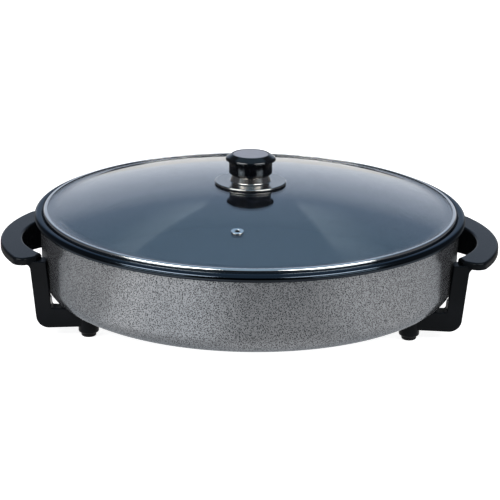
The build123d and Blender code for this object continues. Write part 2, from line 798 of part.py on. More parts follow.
def terminal_insulator():
    """Ceramic bush that leads one terminal pin through the front plate, at the inlet's own axis."""
    front = insulator_front
    tail = front - INSULATOR_LENGTH
    body = rod_along_x(INSULATOR_RADIUS, tail, front, 0, terminal_level)
    flange = rod_along_x(INSULATOR_FLANGE_RADIUS, box_end, front, 0, terminal_level)
    bore_radius = PIN_SHANK_RADIUS + INSULATOR_FIT
    bore = rod_along_x(bore_radius, tail - OVERRUN, front + OVERRUN, 0, terminal_level)
    return body + flange - bore


def terminal_pin():
    """Contact pin with a thinner shank that meets the element's lead."""
    tip = insulator_front + PIN_LENGTH
    pin = rod_along_x(PIN_RADIUS, insulator_front, tip, 0, terminal_level)
    rounded = fillet(pin.faces().sort_by(Axis.X)[-1].edges(), PIN_TIP_ROUND)
    return rounded + rod_along_x(PIN_SHANK_RADIUS, lead_end, insulator_front, 0, terminal_level)


def inlet_guard():
    """Folded steel channel round the pins, open to the right and closed above by the pan."""
    end = box_end + GUARD_LENGTH
    high = PAN_LIFT - BOX_SHEET - GUARD_ROOF_GAP
    outer = block((box_end, end), (-guard_half_width, guard_half_width), (inlet_low, high))
    inner = block(
        (box_end - OVERRUN, end + OVERRUN),
        (-guard_inside, guard_inside),
        (inlet_low + GUARD_SHEET, high + OVERRUN),
    )
    return outer - inner


def earth_blade():
    """Flat earth contact on the front plate below the probe."""
    low = inlet_low + EARTH_LIFT
    return block(
        (box_end, box_end + EARTH_LENGTH),
        (-EARTH_HALF_WIDTH, EARTH_HALF_WIDTH),
        (low, low + EARTH_SHEET),
    )


def probe_well():
    """Block on the pan's underside with a blind bore for the sensing probe."""
    mouth = box_end + PROBE_NOSE_LENGTH
    bore_end = mouth - PROBE_BORE_LENGTH
    body = block(
        (bore_end - PROBE_BLOCK_END, box_end - BOX_SHEET),
        (-PROBE_BLOCK_HALF_WIDTH, PROBE_BLOCK_HALF_WIDTH),
        (PAN_LIFT - PROBE_BLOCK_HEIGHT, PAN_LIFT),
    )
    nose = rod_along_x(PROBE_NOSE_RADIUS, box_end - BOX_SHEET, mouth, 0, probe_level)
    return body + nose - rod_along_x(PROBE_BORE_RADIUS, bore_end, mouth + OVERRUN, 0, probe_level)


# Pieces by name
def lid_pieces():
    """Everything that lifts off with the lid."""
    return {
        "lid_glass": lid_glass(),
        "lid_band": lid_band(),
        "vent_eyelet": vent_eyelet(),
        "collar_gasket": collar_gasket(),
        "knob_collar": knob_collar(),
        "knob_body": knob_body(),
        "knob_inlay": knob_inlay(),
        "knob_insert": ring(INSERT_RADIUS, screw_bore, neck_top, insert_top),
        "knob_screw": knob_screw(),
        "lid_under_gasket": under_gasket(),
        "lid_under_washer": ring(UNDER_WASHER_RADIUS, screw_bore, under_washer_low, under_gasket_low),
    }


def frame_pieces():
    """Both handle frames with their feet and fixings."""
    frame = handle_frame()
    places = [Pos(across, forward, 0) for across, forward in foot_places]
    stud = ring(STUD_RADIUS, FRAME_SCREW_RADIUS + SCREW_BORE_FIT, PAN_LIFT - STUD_LENGTH, PAN_LIFT)
    washer = ring(FRAME_WASHER_RADIUS, FRAME_SCREW_RADIUS + SCREW_BORE_FIT, washer_low, boss_web_low)
    pieces = {
        "handle_frame_right": frame,
        "handle_frame_left": mirror(frame, Plane.YZ),
        "frame_studs": group(places, stud),
        "frame_washers": group(places, washer),
        "frame_screws": group(places, frame_screw()),
    }
    for across, forward in foot_places:
        side = "left" if across < 0 else "right"
        end = "front" if forward < 0 else "rear"
        pieces[f"foot_{end}_{side}"] = Pos(across, forward, 0) * foot_pad()
    return pieces


def heater_pieces():
    """Heater, cover and inlet under the pan."""
    saddle_places = on_ring(element_ring, SADDLE_COUNT)
    saddle_studs = on_ring(saddle_stud_ring, SADDLE_COUNT)
    cover_studs = on_ring(cover_stud_ring, COVER_STUD_COUNT)
    box_studs = box_stud_places()
    terminals = [Pos(0, forward, 0) for forward in (-TERMINAL_SPREAD, TERMINAL_SPREAD)]
    return {
        "heating_element": heating_element(),
        "element_saddles": group(saddle_places, element_saddle()),
        "saddle_studs": group(saddle_studs, weld_stud()),
        "saddle_nuts": group(saddle_studs, stud_nut(SADDLE_SHEET)),
        "base_cover": base_cover(),
        "cover_studs": group(cover_studs, weld_stud()),
        "cover_nuts": group(cover_studs, stud_nut(COVER_SHEET)),
        "terminal_box": terminal_box(),
        "box_studs": group(box_studs, weld_stud()),
        "box_nuts": group(box_studs, stud_nut(BOX_SHEET)),
        "terminal_insulators": group(terminals, terminal_insulator()),
        "terminal_pins": group(terminals, terminal_pin()),
        "inlet_guard": inlet_guard(),
        "earth_blade": earth_blade(),
        "probe_well": probe_well(),
    }


os.makedirs("parts", exist_ok=True)
pieces = {"pan_body": pan_body(), **lid_pieces(), **frame_pieces(), **heater_pieces()}
for name, piece in pieces.items():
    export_step(piece, f"parts/{name}.step")
    print(name, len(piece.solids()), round(piece.volume))
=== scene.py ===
# %% [markdown]
# # A party pan, dressed in Blender
# The imported model brings every rigid piece of the pan to its right place, in metres.
# This lesson keeps those pieces and gives them what a solid lacks: hammered enamel,
# clear glass, polished steel and satin mouldings. The small fixings get threads and
# bevels, and the pan and the lid's band are turned afresh, because they mirror the room.
# We start by loading the model, with a helper that reads the box of a piece.

# %% Load the imported model
import math

import bmesh
import bpy
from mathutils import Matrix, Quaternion, Vector


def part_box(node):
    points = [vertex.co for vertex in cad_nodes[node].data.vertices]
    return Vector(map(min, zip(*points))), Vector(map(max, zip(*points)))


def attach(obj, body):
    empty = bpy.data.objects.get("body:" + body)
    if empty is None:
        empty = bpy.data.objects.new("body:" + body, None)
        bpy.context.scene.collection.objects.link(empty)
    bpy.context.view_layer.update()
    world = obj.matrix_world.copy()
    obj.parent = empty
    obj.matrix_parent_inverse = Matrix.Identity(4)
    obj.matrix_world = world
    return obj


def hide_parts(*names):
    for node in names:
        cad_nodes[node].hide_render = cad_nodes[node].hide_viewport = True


MM = 0.001

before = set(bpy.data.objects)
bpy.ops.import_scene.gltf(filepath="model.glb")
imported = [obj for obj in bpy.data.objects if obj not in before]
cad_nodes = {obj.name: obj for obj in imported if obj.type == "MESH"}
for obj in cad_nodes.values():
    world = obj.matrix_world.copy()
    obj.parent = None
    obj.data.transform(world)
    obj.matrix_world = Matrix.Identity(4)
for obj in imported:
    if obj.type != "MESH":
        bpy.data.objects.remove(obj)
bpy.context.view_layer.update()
scene = bpy.context.scene
scene.view_settings.view_transform = "Standard"
print("CAD nodes:", len(cad_nodes))

# %% [markdown]
# ## The camera
# The photograph was taken from the front with a long lens, a little above the lid.
# A lens can be guessed by eye, but here its distance, height and slight roll come from
# the ellipses of the rim and the floor, so the render can be laid over the photograph.

# %% Camera
camera_target = Vector((0.5 * MM, 0, 65.5 * MM))
camera_distance = 1800 * MM
camera_azimuth = math.radians(-0.5)
camera_elevation = math.radians(17.77)
camera_roll = math.radians(0.79)
sensor_width = 36
focal_length = 131.3


def direction(azimuth, elevation):
    """Unit vector that points away from the object, with azimuth 0 at the front."""
    level = math.cos(elevation)
    return Vector((level * math.sin(azimuth), -level * math.cos(azimuth), math.sin(elevation)))


camera_data = bpy.data.cameras.new("studio_camera")
camera_data.sensor_width = sensor_width
camera_data.lens = focal_length
camera = bpy.data.objects.new("studio_camera", camera_data)
scene.collection.objects.link(camera)
towards_camera = direction(camera_azimuth, camera_elevation)
camera.location = camera_target + camera_distance * towards_camera
camera.rotation_mode = "QUATERNION"
level_turn = (-towards_camera).to_track_quat("-Z", "Y")
camera.rotation_quaternion = level_turn @ Quaternion((0, 0, 1), camera_roll)
scene.camera = camera
print("camera at", [round(side, 3) for side in camera.location])

# %% [markdown]
# ## Small helpers for node trees
# Every finish below is a node tree. A few short helpers keep the recipes readable: they
# add a node with its inputs filled, do a sum, move a value to another range, and blend
# colours or shaders.


# %% Helpers for node trees
def fill_socket(tree, socket, value):
    """Wires a socket to another socket, or sets its value."""
    if isinstance(value, bpy.types.NodeSocket):
        tree.links.new(value, socket)
    else:
        socket.default_value = value


def add_node(tree, kind, settings=None, **inputs):
    """A new node with its properties set, and inputs filled with values or wired to sockets."""
    node = tree.nodes.new(kind)
    for name, value in (settings or {}).items():
        setattr(node, name, value)
    for name, value in inputs.items():
        fill_socket(tree, node.inputs[name.replace("_", " ")], value)
    return node


def calculate(tree, operation, *values):
    """The result of a Math node."""
    node = add_node(tree, "ShaderNodeMath", {"operation": operation})
    for socket, value in zip(node.inputs, values):
        fill_socket(tree, socket, value)
    return node.outputs[0]


def product(tree, first, *others):
    """Values multiplied together."""
    for value in others:
        first = calculate(tree, "MULTIPLY", first, value)
    return first


def flat_length(tree, split):
    """Distance from the upright axis, from a place that is split into X, Y and Z."""
    across, forward = split.outputs["X"], split.outputs["Y"]
    squares = calculate(tree, "ADD", product(tree, across, across), product(tree, forward, forward))
    return calculate(tree, "SQRT", squares)


def remap(tree, value, from_low, from_high, to_low, to_high, smooth=False):
    """A value moved from one range to another and kept inside it."""
    settings = {"interpolation_type": "SMOOTHSTEP" if smooth else "LINEAR"}
    node = add_node(tree, "ShaderNodeMapRange", settings, Value=value)
    limits = {"From Min": from_low, "From Max": from_high, "To Min": to_low, "To Max": to_high}
    for name, limit in limits.items():
        fill_socket(tree, node.inputs[name], limit)
    return node.outputs[0]


def pick(tree, share, first, second):
    """A value that goes from the first to the second as the share goes from 0 to 1."""
    return remap(tree, share, 0, 1, first, second)


def colour_ramp(tree, value, stops):
    """Colours along a value, from (place, colour) stops."""
    node = add_node(tree, "ShaderNodeValToRGB", Fac=value)
    elements = node.color_ramp.elements
    while len(elements) < len(stops):
        elements.new(0.5)
    for element, (place, colour) in zip(elements, stops):
        element.position = place
        element.color = (*colour, 1)
    return node.outputs["Color"]


def mix_colour(tree, share, first, second, blend="MIX"):
    """A blend of two colours by a share."""
    node = add_node(tree, "ShaderNodeMix", {"data_type": "RGBA", "blend_type": blend})
    fill_socket(tree, node.inputs["Factor"], share)
    for socket, colour in ((node.inputs[6], first), (node.inputs[7], second)):
        fill_socket(tree, socket, colour if isinstance(colour, bpy.types.NodeSocket) else (*colour, 1))
    return node.outputs[2]


def mix_shaders(tree, share, first, second):
    """The first shader where the share is 0, and the second where it is 1."""
    node = add_node(tree, "ShaderNodeMixShader", Fac=share)
    fill_socket(tree, node.inputs[1], first)
    fill_socket(tree, node.inputs[2], second)
    return node.outputs["Shader"]


# %% [markdown]
# Patterns read Object coordinates, which are metres in the shared frame. A Mapping
# node stretches them, so brushed metal is only a noise pulled long in one direction.
# Soft noise hardly ever leaves the middle of its range, so tones and shine are spread
# over that middle.

# %% Helpers for patterns
NOISE_LOW = 0.3
NOISE_HIGH = 0.7


def new_finish(name):
    """A material, its tree and its shader."""
    material = bpy.data.materials.new(name)
    material.use_nodes = True
    tree = material.node_tree
    return material, tree, tree.nodes["Principled BSDF"]


def object_place(tree, stretch=(1, 1, 1)):
    """Object coordinates, stretched along each axis."""
    coordinates = add_node(tree, "ShaderNodeTexCoord")
    mapping = add_node(tree, "ShaderNodeMapping", Vector=coordinates.outputs["Object"], Scale=stretch)
    return mapping.outputs["Vector"]


def noise(tree, place, scale, detail):
    """Soft noise from 0 to 1."""
    node = add_node(tree, "ShaderNodeTexNoise", Vector=place, Scale=scale, Detail=detail)
    return node.outputs["Fac"]


def two_tones(tree, pattern, dark, pale, low=NOISE_LOW, high=NOISE_HIGH):
    """A colour that drifts between two tones with a pattern."""
    return colour_ramp(tree, pattern, [(low, dark), (high, pale)])


def paint(tree, shader, pattern, dark, pale, low=NOISE_LOW, high=NOISE_HIGH):
    """Base colour that drifts between two tones with a pattern."""
    fill_socket(tree, shader.inputs["Base Color"], two_tones(tree, pattern, dark, pale, low, high))


def polish(tree, shader, pattern, first, last, low=NOISE_LOW, high=NOISE_HIGH):
    """Roughness that goes from the first value to the last with a pattern."""
    fill_socket(tree, shader.inputs["Roughness"], remap(tree, pattern, low, high, first, last))


def bump(tree, shader, height, strength, depth):
    """Small relief on the shader's surface."""
    node = add_node(tree, "ShaderNodeBump", Height=height, Strength=strength, Distance=depth)
    fill_socket(tree, shader.inputs["Normal"], node.outputs["Normal"])


def dress(material, *names):
    """Puts a finish on CAD nodes."""
    for name in names:
        cad_nodes[name].material_slots[0].material = material
    print(material.name, "on", ", ".join(names))


# %% [markdown]
# ## The pan: hammered enamel outside, dark coat inside
# The pan is one casting with two finishes and a smooth rim between them. It could get a
# material for each, but the edges between them lie in the middle of bends. So one
# material tells the sides apart by masks: a face whose normal points away from a spot
# inside the pan is outside, and the rim is whatever lies beyond a radius or above a level.

# %% Masks of the pan
pan_finish, tree, shader = new_finish("hammered_pan")
pan_low, pan_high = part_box("pan_body")
spot_inside = (0, 0, 80 * MM)
rim_width = 5.2 * MM
rim_depth = 8.8 * MM

coordinates = add_node(tree, "ShaderNodeTexCoord")
from_spot = add_node(tree, "ShaderNodeVectorMath", {"operation": "SUBTRACT"})
fill_socket(tree, from_spot.inputs[0], coordinates.outputs["Object"])
fill_socket(tree, from_spot.inputs[1], spot_inside)
facing = add_node(tree, "ShaderNodeVectorMath", {"operation": "DOT_PRODUCT"})
fill_socket(tree, facing.inputs[0], coordinates.outputs["Normal"])
fill_socket(tree, facing.inputs[1], from_spot.outputs["Vector"])
outside = calculate(tree, "GREATER_THAN", facing.outputs["Value"], 0.0)
split = add_node(tree, "ShaderNodeSeparateXYZ", Vector=coordinates.outputs["Object"])
beyond = calculate(tree, "GREATER_THAN", flat_length(tree, split), pan_high.x - rim_width)
above = calculate(tree, "GREATER_THAN", split.outputs["Z"], pan_high.z - rim_depth)
on_rim = calculate(tree, "MAXIMUM", beyond, above)
hammered = product(tree, outside, calculate(tree, "SUBTRACT", 1.0, on_rim))
print("rim starts at radius", round((pan_high.x - rim_width) / MM, 1), "mm")

# %% [markdown]
# Hammered enamel dries into a pale skin with small dark dimples about two millimetres
# apart, which a Voronoi pattern gives as the distance to scattered points. A little noise
# makes the dimples ragged, and wide clouds keep the wall from looking printed.

# %% Tones of the pan
dimple_scale = 880.0
dimple_core = 0.26
dimple_edge = 0.48
ragged_scale = 2200
ragged_reach = 0.08
cloud_scale = 9
coat_scale = 1400

place = object_place(tree)
points = add_node(tree, "ShaderNodeTexVoronoi", Vector=place, Scale=dimple_scale, Randomness=0.9)
ragged_noise = noise(tree, place, ragged_scale, detail=1)
ragged = remap(tree, ragged_noise, NOISE_LOW, NOISE_HIGH, -ragged_reach, ragged_reach)
from_point = calculate(tree, "ADD", points.outputs["Distance"], ragged)
skin = remap(tree, from_point, dimple_core, dimple_edge, 0, 1)
skin_tone = two_tones(tree, skin, (0.01, 0.013, 0.017), (0.325, 0.332, 0.345), low=0.0, high=1.0)
clouds = noise(tree, place, cloud_scale, detail=2)
cloud_tint = two_tones(tree, clouds, (0.82, 0.84, 0.86), (1.0, 1.0, 1.0))
enamel = mix_colour(tree, 1.0, skin_tone, cloud_tint, blend="MULTIPLY")
coat_grain = noise(tree, place, coat_scale, detail=2)
coat = two_tones(tree, coat_grain, (0.003, 0.004, 0.006), (0.006, 0.007, 0.010))
rim_tone = two_tones(tree, clouds, (0.028, 0.035, 0.043), (0.036, 0.045, 0.055))
side_tone = mix_colour(tree, hammered, coat, enamel)
fill_socket(tree, shader.inputs["Base Color"], mix_colour(tree, on_rim, side_tone, rim_tone))
print("dimples in cells of", round(1 / dimple_scale / MM, 2), "mm")

# %% [markdown]
# The enamel holds metal flakes, so it mirrors the pale floor and the dark handles softly,
# and its dimples are duller than its skin. The coat inside is dull. The rim is smooth and
# dark, and a tint holds back the bright edge that a mirror has at a low angle.

# %% Shine and relief of the pan
dimple_rough = 0.26
skin_rough = 0.16
coat_rough = 0.6
rim_rough = 0.12
flake_share = 0.85

rough_outside = pick(tree, skin, dimple_rough, skin_rough)
rough_sides = pick(tree, hammered, coat_rough, rough_outside)
fill_socket(tree, shader.inputs["Roughness"], pick(tree, on_rim, rough_sides, rim_rough))
metal_share = calculate(tree, "MAXIMUM", product(tree, hammered, flake_share), on_rim)
fill_socket(tree, shader.inputs["Metallic"], metal_share)
shader.inputs["Specular IOR Level"].default_value = 0.06
shader.inputs["Specular Tint"].default_value = (0.62, 0.65, 0.68, 1)
bump(tree, shader, product(tree, skin, hammered), strength=0.2, depth=0.12 * MM)
print("pan finish made")

# %% [markdown]
# ## The glass lid
# The lid is one sheet of tempered glass, so both its faces are in the CAD mesh and the
# shader can bend light as real glass does. Lamps would cast a black shadow through it,
# because a shadow ray stops at any face: the last mix lets those rays pass.

# %% Clear glass
clear_glass, tree, shader = new_finish("clear_glass")
smear = noise(tree, object_place(tree), scale=14, detail=2)
paint(tree, shader, smear, (0.95, 0.975, 0.985), (0.98, 0.99, 0.995))
polish(tree, shader, smear, 0.0, 0.02, low=0.4, high=0.8)
shader.inputs["Transmission Weight"].default_value = 1.0
shader.inputs["IOR"].default_value = 1.5
rays = add_node(tree, "ShaderNodeLightPath")
shadow_pass = add_node(tree, "ShaderNodeBsdfTransparent", Color=(0.93, 0.95, 0.96, 1))
glass_or_clear = mix_shaders(
    tree, rays.outputs["Is Shadow Ray"], shader.outputs["BSDF"], shadow_pass.outputs["BSDF"]
)
fill_socket(tree, tree.nodes["Material Output"].inputs["Surface"], glass_or_clear)
dress(clear_glass, "lid_glass")

# %% [markdown]
# ## Bright metal
# The band, the eyelet and the lid's screw and washer are polished stainless steel.
# Polishing leaves faint rings round the axis, so the noise is read along the radius and
# the height only. The collar has the same steel made a little rougher, and its darker
# tone is painted shade that dims what its neck mirrors.


# %% Polished steel
def turned_steel(name, dark, pale, rough):
    """Stainless steel with faint polishing rings round the upright axis."""
    material, tree, shader = new_finish(name)
    coordinates = add_node(tree, "ShaderNodeTexCoord")
    split = add_node(tree, "ShaderNodeSeparateXYZ", Vector=coordinates.outputs["Object"])
    ring_place = add_node(tree, "ShaderNodeCombineXYZ", X=flat_length(tree, split), Y=split.outputs["Z"])
    rings = noise(tree, ring_place.outputs["Vector"], scale=5200, detail=3)
    hand_marks = noise(tree, coordinates.outputs["Object"], scale=60, detail=3)
    paint(tree, shader, rings, dark, pale)
    polish(tree, shader, hand_marks, *rough)
    shader.inputs["Metallic"].default_value = 1.0
    bump(tree, shader, rings, strength=0.08, depth=0.02 * MM)
    return material


polished_steel = turned_steel("polished_steel", (0.60, 0.57, 0.54), (0.72, 0.69, 0.66), rough=(0.09, 0.17))
# The collar's darker tones are painted shade that dims what its neck mirrors.
shade_dimmed_collar_steel = turned_steel("shade_dimmed_collar_steel", (0.35, 0.33, 0.305), (0.43, 0.41, 0.38), rough=(0.14, 0.2))
dress(polished_steel, "vent_eyelet", "lid_under_washer", "knob_screw")
dress(shade_dimmed_collar_steel, "knob_collar")

# %% [markdown]
# The disc in the knob is anodised aluminium, brushed one way and a little lilac.
# Stretching the noise fifty times along X draws the brush lines.

# %% Brushed inlay
brush_stretch = (1 / 50, 1, 1)
brushed_inlay, tree, shader = new_finish("brushed_inlay")
strokes = noise(tree, object_place(tree, brush_stretch), scale=3600, detail=4)
paint(tree, shader, strokes, (0.47, 0.41, 0.40), (0.57, 0.50, 0.49))
polish(tree, shader, strokes, 0.48, 0.34)
shader.inputs["Metallic"].default_value = 0.85
bump(tree, shader, strokes, strength=0.12, depth=0.03 * MM)
dress(brushed_inlay, "knob_inlay")

# %% [markdown]
# ## Black mouldings
# Three blacks meet on this pan and differ only in how they shine. The knob is polished,
# the handle frames are satin with the fine bloom of moulded phenolic, and rubber and
# silicone are dull. A colour alone would lose them, so each has its own roughness.

# %% Polished knob
polished_black, tree, shader = new_finish("polished_black")
swirl = noise(tree, object_place(tree), scale=90, detail=3)
paint(tree, shader, swirl, (0.0008, 0.001, 0.0016), (0.0016, 0.002, 0.003))
polish(tree, shader, swirl, 0.04, 0.08)
shader.inputs["Specular IOR Level"].default_value = 0.5
dress(polished_black, "knob_body")

# %% [markdown]
# The frames are moulded phenolic. Their satin comes from a fine grain in the mould, so a
# tight noise drives both the shine and a low relief, and a wide bloom drifts the tone.

# %% Satin handle frames
satin_black, tree, shader = new_finish("satin_black")
place = object_place(tree)
bloom = noise(tree, place, scale=26, detail=3)
grain = noise(tree, place, scale=2600, detail=2)
paint(tree, shader, bloom, (0.003, 0.004, 0.005), (0.006, 0.007, 0.009))
polish(tree, shader, grain, 0.18, 0.26)
shader.inputs["Specular IOR Level"].default_value = 0.08
bump(tree, shader, grain, strength=0.06, depth=0.05 * MM)
dress(satin_black, "handle_frame_right", "handle_frame_left")

# %% [markdown]
# The feet are rubber and the gaskets are silicone. Both are dull and powdery and differ
# only in tone, so one recipe makes them.


# %% Rubber and silicone
def soft_black(name, dark, pale):
    """Dull black with a fine powdery grain."""
    material, tree, shader = new_finish(name)
    powder = noise(tree, object_place(tree), scale=1800, detail=3)
    paint(tree, shader, powder, dark, pale)
    polish(tree, shader, powder, 0.62, 0.8)
    shader.inputs["Specular IOR Level"].default_value = 0.2
    bump(tree, shader, powder, strength=0.1, depth=0.08 * MM)
    return material


foot_rubber = soft_black("foot_rubber", (0.003, 0.003, 0.004), (0.007, 0.007, 0.008))
black_silicone = soft_black("black_silicone", (0.02, 0.02, 0.022), (0.035, 0.035, 0.038))
dress(foot_rubber, "foot_front_left", "foot_rear_left", "foot_front_right", "foot_rear_right")
dress(black_silicone, "collar_gasket", "lid_under_gasket")

# %% [markdown]
# ## Metals of the heater
# Nobody sees these from the front, but a part in a library is turned over. The fixings
# are zinc plated, the element is blackened by heat, the contacts are nickel and brass,
# and the probe's well is cast aluminium. One recipe serves them all, because bare metals
# differ in tone, grain and shine and in little else.


# %% Plain metals
def mottled_metal(name, dark, pale, scale, rough):
    """Bare metal whose tone and shine drift over its surface, duller where it is dark."""
    material, tree, shader = new_finish(name)
    drift = noise(tree, object_place(tree), scale, detail=3)
    paint(tree, shader, drift, dark, pale)
    polish(tree, shader, drift, *rough)
    shader.inputs["Metallic"].default_value = 1.0
    bump(tree, shader, drift, strength=0.08, depth=0.05 * MM)
    return material


zinc_plate = mottled_metal(
    "zinc_plate", (0.50, 0.51, 0.52), (0.68, 0.69, 0.70), scale=420, rough=(0.40, 0.26)
)
heat_dark_steel = mottled_metal(
    "heat_dark_steel", (0.09, 0.075, 0.07), (0.20, 0.19, 0.19), scale=60, rough=(0.55, 0.40)
)
nickel_plate = mottled_metal(
    "nickel_plate", (0.60, 0.58, 0.54), (0.74, 0.72, 0.68), scale=500, rough=(0.24, 0.14)
)
plain_brass = mottled_metal(
    "plain_brass", (0.55, 0.40, 0.18), (0.74, 0.57, 0.28), scale=300, rough=(0.38, 0.24)
)
cast_aluminium = mottled_metal(
    "cast_aluminium", (0.52, 0.52, 0.53), (0.68, 0.68, 0.70), scale=900, rough=(0.6, 0.45)
)
dress(zinc_plate, "frame_studs", "frame_washers", "frame_screws", "element_saddles")
dress(heat_dark_steel, "heating_element")
dress(nickel_plate, "terminal_pins")
dress(plain_brass, "knob_insert", "earth_blade")
dress(cast_aluminium, "probe_well")

# %% [markdown]
# The cover, the terminal box and the guard are aluminised sheet. The dip leaves pale
# crystals, which Voronoi cells draw as patches of even tone, and the mill leaves lines.
# The insulators are glazed ceramic with fine specks.

# %% Aluminised sheet and ceramic
roll_stretch = (0.03, 1, 1)
aluminised_sheet, tree, shader = new_finish("aluminised_sheet")
crystals = add_node(tree, "ShaderNodeTexVoronoi", Vector=object_place(tree), Scale=160.0)
roll_lines = noise(tree, object_place(tree, roll_stretch), scale=1200, detail=3)
crystal_tones = crystals.outputs["Color"]
paint(tree, shader, crystal_tones, (0.44, 0.45, 0.46), (0.60, 0.61, 0.62), low=0.1, high=0.9)
polish(tree, shader, roll_lines, 0.34, 0.48)
shader.inputs["Metallic"].default_value = 1.0
bump(tree, shader, roll_lines, strength=0.06, depth=0.05 * MM)
dress(aluminised_sheet, "base_cover", "terminal_box", "inlet_guard")

glazed_ceramic, tree, shader = new_finish("glazed_ceramic")
specks = noise(tree, object_place(tree), scale=1500, detail=3)
paint(tree, shader, specks, (0.60, 0.56, 0.48), (0.80, 0.77, 0.70), low=0.25, high=0.45)
polish(tree, shader, specks, 0.22, 0.34)
dress(glazed_ceramic, "terminal_insulators")

# %% [markdown]
# ## Fixings that repeat
# Studs and nuts come in sets. Geometry Nodes build one and set it on every place, and
# the places are read from the CAD solids, so nothing has to be fitted. The result
# becomes a plain mesh, because instances would be lost on export.

# %% Helpers for repeated fixings
SHARP_ANGLE = math.radians(38)


def solid_centres(node_name, reach):
    """Lowest point on the axis of each solid in a CAD node, found by grouping its points."""
    groups = []
    for vertex in cad_nodes[node_name].data.vertices:
        for members in groups:
            if (members[0] - vertex.co).xy.length < reach:
                members.append(vertex.co.copy())
                break
        else:
            groups.append([vertex.co.copy()])
    centres = []
    for members in groups:
        middle = [(min(p[axis] for p in members) + max(p[axis] for p in members)) / 2 for axis in (0, 1)]
        centres.append(Vector((*middle, min(p.z for p in members))))
    return centres


def new_recipe(name, sizes):
    """A Geometry Nodes tree with places coming in, named sizes and a finish."""
    tree = bpy.data.node_groups.new(name, "GeometryNodeTree")
    tree.interface.new_socket("Places", in_out="INPUT", socket_type="NodeSocketGeometry")
    for label in sizes:
        tree.interface.new_socket(label, in_out="INPUT", socket_type="NodeSocketFloat")
    tree.interface.new_socket("Finish", in_out="INPUT", socket_type="NodeSocketMaterial")
    tree.interface.new_socket("Pieces", in_out="OUTPUT", socket_type="NodeSocketGeometry")
    return tree, tree.nodes.new("NodeGroupInput").outputs


def end_recipe(tree, given, piece):
    """Sets the piece on every place, makes it real and gives it its finish."""
    spread = add_node(tree, "GeometryNodeInstanceOnPoints", Points=given["Places"], Instance=piece)
    real = add_node(tree, "GeometryNodeRealizeInstances", Geometry=spread.outputs["Instances"])
    painted = add_node(tree, "GeometryNodeSetMaterial", Geometry=real.outputs["Geometry"])
    fill_socket(tree, painted.inputs["Material"], given["Finish"])
    result = tree.nodes.new("NodeGroupOutput")
    fill_socket(tree, result.inputs["Pieces"], painted.outputs["Geometry"])


def make_pieces(name, tree, places, sizes, material):
    """Runs a recipe on a list of places and leaves a plain mesh."""
    mesh = bpy.data.meshes.new(name)
    mesh.from_pydata([tuple(place) for place in places], [], [])
    piece = bpy.data.objects.new(name, mesh)
    scene.collection.objects.link(piece)
    modifier = piece.modifiers.new("recipe", "NODES")
    modifier.node_group = tree
    values = {**sizes, "Finish": material}
    for item in tree.interface.items_tree:
        if item.in_out == "INPUT" and item.name in values:
            modifier[item.identifier] = values[item.name]
    evaluated = piece.evaluated_get(bpy.context.evaluated_depsgraph_get())
    plain = bpy.data.meshes.new_from_object(evaluated)
    piece.modifiers.clear()
    piece.data = plain
    plain.shade_smooth()
    plain.set_sharp_from_angle(angle=SHARP_ANGLE)
    print(name, "has", len(plain.polygons), "faces at", len(places), "places")
    return piece


def stand_for(piece, body, slot, *names):
    """Lets a new piece ride on a body in place of CAD nodes."""
    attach(piece, body)
    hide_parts(*names)


# %% [markdown]
# A weld stud is a rod with a thread. A line of points whose radius goes up and down is
# swept into a rod, which gives the ridges. At this size nobody can see that a real
# thread climbs, and rings need far fewer faces than a helix.

# %% Threaded studs
stud_sizes = ("Radius", "Length", "Pitch", "Depth")
stud_sides = 24
stud_reach = 8 * MM

stud_recipe, given = new_recipe("threaded_stud", stud_sizes)
tree = stud_recipe
tip = add_node(tree, "ShaderNodeCombineXYZ", Z=given["Length"])
rod = add_node(tree, "GeometryNodeCurvePrimitiveLine", End=tip.outputs["Vector"])
half_pitch = calculate(tree, "DIVIDE", given["Pitch"], 2.0)
steps = add_node(tree, "GeometryNodeResampleCurve", {"mode": "LENGTH"}, Curve=rod.outputs["Curve"])
fill_socket(tree, steps.inputs["Length"], half_pitch)
number = add_node(tree, "GeometryNodeInputIndex")
odd = calculate(tree, "MODULO", number.outputs["Index"], 2.0)
ridge = calculate(tree, "SUBTRACT", given["Radius"], product(tree, odd, given["Depth"]))
ridged = add_node(tree, "GeometryNodeSetCurveRadius", Curve=steps.outputs["Curve"], Radius=ridge)
section = add_node(tree, "GeometryNodeCurvePrimitiveCircle", Resolution=stud_sides, Radius=1.0)
swept = add_node(tree, "GeometryNodeCurveToMesh", Curve=ridged.outputs["Curve"])
fill_socket(tree, swept.inputs["Profile Curve"], section.outputs["Curve"])
fill_socket(tree, swept.inputs["Fill Caps"], True)
if "Scale" in swept.inputs:
    fill_socket(tree, swept.inputs["Scale"], ridge)
end_recipe(tree, given, swept.outputs["Mesh"])

for set_name in ("saddle_studs", "cover_studs", "box_studs"):
    places = solid_centres(set_name, stud_reach)
    low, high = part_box(set_name)
    stud_values = {"Radius": 2.0 * MM, "Length": high.z - low.z, "Pitch": 0.7 * MM, "Depth": 0.35 * MM}
    studs = make_pieces("threaded_" + set_name, stud_recipe, places, stud_values, zinc_plate)
    stand_for(studs, "pan", "zinc_steel", set_name)

# %% [markdown]
# A nut is a round ring with bevelled edges, cut to six flats. So the recipe bends a
# bevelled strip into a ring and then pulls every point inside a hexagon. The curved
# edges where the bevel meets the flats, as on a real nut, come out by themselves.

# %% Bevelled nuts
nut_sizes = ("Flat radius", "Corner radius", "Bore radius", "Height", "Bevel")
nut_steps = 72
nut_reach = 10 * MM
sixth = math.pi / 3

